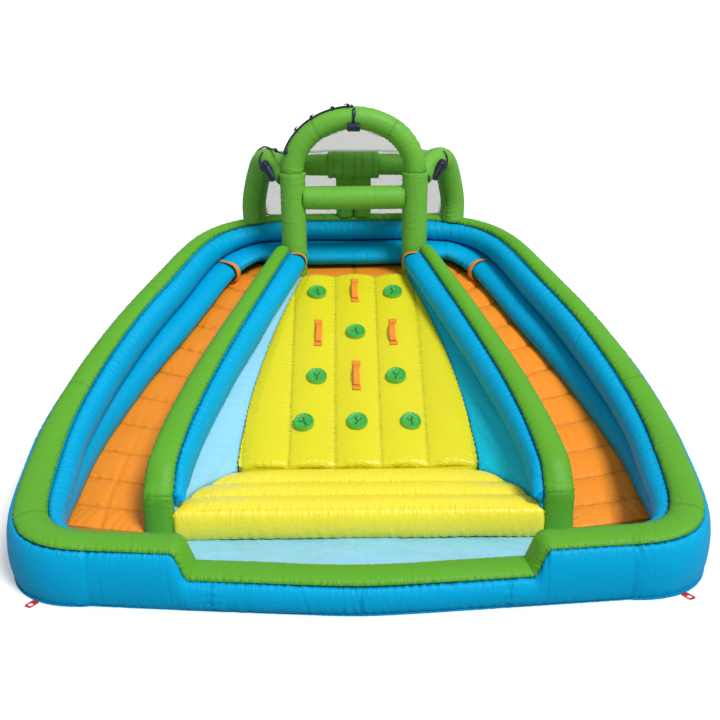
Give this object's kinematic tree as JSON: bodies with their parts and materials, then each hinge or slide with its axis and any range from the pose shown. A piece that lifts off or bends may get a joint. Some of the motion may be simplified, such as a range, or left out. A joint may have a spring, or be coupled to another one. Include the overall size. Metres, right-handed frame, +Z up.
{
  "type": "inflatable water slide",
  "caption": "Inflatable water slide with curved side lanes, a climbing wall with holds, a platform under arches and a splash pool.",
  "frame": {"origin": "on the ground, at the centre of the base's bounding box", "axes": "+Z up, +Y from the pool towards the platform at the rear, +X to the right seen from the pool"},
  "size_m": [4.6598, 4.4, 2.599],
  "materials": {
    "blue_fabric": "coated nylon cloth, satin",
    "pale_fabric": "coated nylon cloth, satin",
    "green_fabric": "coated nylon cloth, satin",
    "orange_fabric": "coated nylon cloth, satin",
    "yellow_fabric": "coated vinyl cloth, glossy",
    "net": "fine knitted mesh",
    "hold_plastic": "moulded plastic, satin",
    "orange_webbing": "woven webbing",
    "red_webbing": "woven webbing",
    "hose_rubber": "flexible hose, satin",
    "sprinkler_plastic": "moulded plastic and band, matt"
  },
  "bodies": {
    "slide": {"air_inlet_sleeve": "blue_fabric", "cap_left": "green_fabric", "cap_right": "green_fabric", "climbing_hold_1": "hold_plastic", "climbing_hold_2": "hold_plastic", "climbing_hold_3": "hold_plastic", "climbing_hold_4": "hold_plastic", "climbing_hold_5": "hold_plastic", "climbing_hold_6": "hold_plastic", "climbing_hold_7": "hold_plastic", "climbing_hold_8": "hold_plastic", "climbing_wall": "yellow_fabric", "crossbar": "green_fabric", "divider_cap_left": "green_fabric", "divider_cap_right": "green_fabric", "divider_gusset_left": "pale_fabric", "divider_gusset_right": "pale_fabric", "divider_left": "blue_fabric", "divider_right": "blue_fabric", "divider_roll_left": "blue_fabric", "divider_roll_right": "blue_fabric", "front_arch": "green_fabric", "front_cap": "green_fabric", "front_post_left": "green_fabric", "front_post_right": "green_fabric", "front_wall": "blue_fabric", "landing_pad": "yellow_fabric", "lower_roll_left": "blue_fabric", "lower_roll_right": "blue_fabric", "outer_wall_left": "blue_fabric", "outer_wall_right": "blue_fabric", "platform": "orange_fabric", "pool_floor": "pale_fabric", "rear_beam": "green_fabric", "rear_post": "green_fabric", "safety_net": "net", "side_arch_left": "green_fabric", "side_arch_right": "green_fabric", "slide_lane_left": "orange_fabric", "slide_lane_right": "orange_fabric", "upper_roll_left": "blue_fabric", "upper_roll_right": "blue_fabric", "water_hose": "hose_rubber"},
    "anchor_front_left_body": {"anchor_front_left": "red_webbing"},
    "anchor_front_right_body": {"anchor_front_right": "red_webbing"},
    "anchor_rear_left_body": {"anchor_rear_left": "red_webbing"},
    "anchor_rear_right_body": {"anchor_rear_right": "red_webbing"},
    "climbing_strap_1_body": {"climbing_strap_1": "orange_webbing"},
    "climbing_strap_2_body": {"climbing_strap_2": "orange_webbing"},
    "climbing_strap_3_body": {"climbing_strap_3": "orange_webbing"},
    "climbing_strap_4_body": {"climbing_strap_4": "orange_webbing"},
    "lane_handle_left_body": {"lane_handle_left": "orange_webbing"},
    "lane_handle_right_body": {"lane_handle_right": "orange_webbing"},
    "platform_handle_left_body": {"platform_handle_left": "orange_webbing"},
    "platform_handle_right_body": {"platform_handle_right": "orange_webbing"},
    "sprinkler_centre_body": {"sprinkler_centre": "sprinkler_plastic"},
    "sprinkler_left_body": {"sprinkler_left": "sprinkler_plastic"},
    "sprinkler_right_body": {"sprinkler_right": "sprinkler_plastic"}
  },
  "joints": [
    {"name": "anchor_front_left_hinge", "type": "hinge", "parent": "slide", "child": "anchor_front_left_body", "pos_m": [-2.01107, -1.96112, 0.0015], "axis": [-0.8455, 0.534, 0], "range_deg": [0, 35]},
    {"name": "anchor_front_right_hinge", "type": "hinge", "parent": "slide", "child": "anchor_front_right_body", "pos_m": [2.01107, -1.96112, 0.0015], "axis": [-0.8455, -0.534, 0], "range_deg": [0, 35]},
    {"name": "anchor_rear_left_hinge", "type": "hinge", "parent": "slide", "child": "anchor_rear_left_body", "pos_m": [-1.57154, 1.50382, 0.0015], "axis": [0.3803, 0.9249, 0], "range_deg": [0, 35]},
    {"name": "anchor_rear_right_hinge", "type": "hinge", "parent": "slide", "child": "anchor_rear_right_body", "pos_m": [1.57154, 1.50382, 0.0015], "axis": [0.3803, -0.9249, 0], "range_deg": [0, 35]},
    {"name": "climbing_strap_1_hinge", "type": "hinge", "parent": "slide", "child": "climbing_strap_1_body", "pos_m": [0.00053, 1.21743, 1.15137], "axis": [0, -0.9203, -0.3911], "range_deg": [-45, 45]},
    {"name": "climbing_strap_2_hinge", "type": "hinge", "parent": "slide", "child": "climbing_strap_2_body", "pos_m": [-0.30447, 0.73816, 0.94224], "axis": [0, -0.9122, -0.4098], "range_deg": [-45, 45]},
    {"name": "climbing_strap_3_hinge", "type": "hinge", "parent": "slide", "child": "climbing_strap_3_body", "pos_m": [0.30447, 0.73816, 0.94224], "axis": [0, -0.9122, -0.4097], "range_deg": [-45, 45]},
    {"name": "climbing_strap_4_hinge", "type": "hinge", "parent": "slide", "child": "climbing_strap_4_body", "pos_m": [0.00052, 0.29372, 0.74274], "axis": [0, -0.9004, -0.435], "range_deg": [-45, 45]},
    {"name": "lane_handle_left_hinge", "type": "hinge", "parent": "slide", "child": "lane_handle_left_body", "pos_m": [-1.17881, 1.58319, 1.03857], "axis": [0, 0, 1], "range_deg": [-15, 15]},
    {"name": "lane_handle_right_hinge", "type": "hinge", "parent": "slide", "child": "lane_handle_right_body", "pos_m": [1.17881, 1.58319, 1.03857], "axis": [0, 0, -1], "range_deg": [-15, 15]},
    {"name": "platform_handle_left_hinge", "type": "hinge", "parent": "slide", "child": "platform_handle_left_body", "pos_m": [-0.5342, 1.2808, 1.19032], "axis": [0, 0, 1], "range_deg": [-15, 15]},
    {"name": "platform_handle_right_hinge", "type": "hinge", "parent": "slide", "child": "platform_handle_right_body", "pos_m": [0.5342, 1.2808, 1.19032], "axis": [0, 0, -1], "range_deg": [-15, 15]},
    {"name": "sprinkler_centre_hinge", "type": "hinge", "parent": "slide", "child": "sprinkler_centre_body", "pos_m": [0, 1.44, 2.4856], "axis": [1, 0, 0], "range_deg": [-15, 15]},
    {"name": "sprinkler_left_hinge", "type": "hinge", "parent": "slide", "child": "sprinkler_left_body", "pos_m": [-0.72182, 1.7215, 2.0761], "axis": [0.5826, -0.8126, 0.0179], "range_deg": [-15, 15]},
    {"name": "sprinkler_right_hinge", "type": "hinge", "parent": "slide", "child": "sprinkler_right_body", "pos_m": [0.72182, 1.7215, 2.0761], "axis": [0.5826, 0.8126, -0.0179], "range_deg": [-15, 15]}
  ]
}
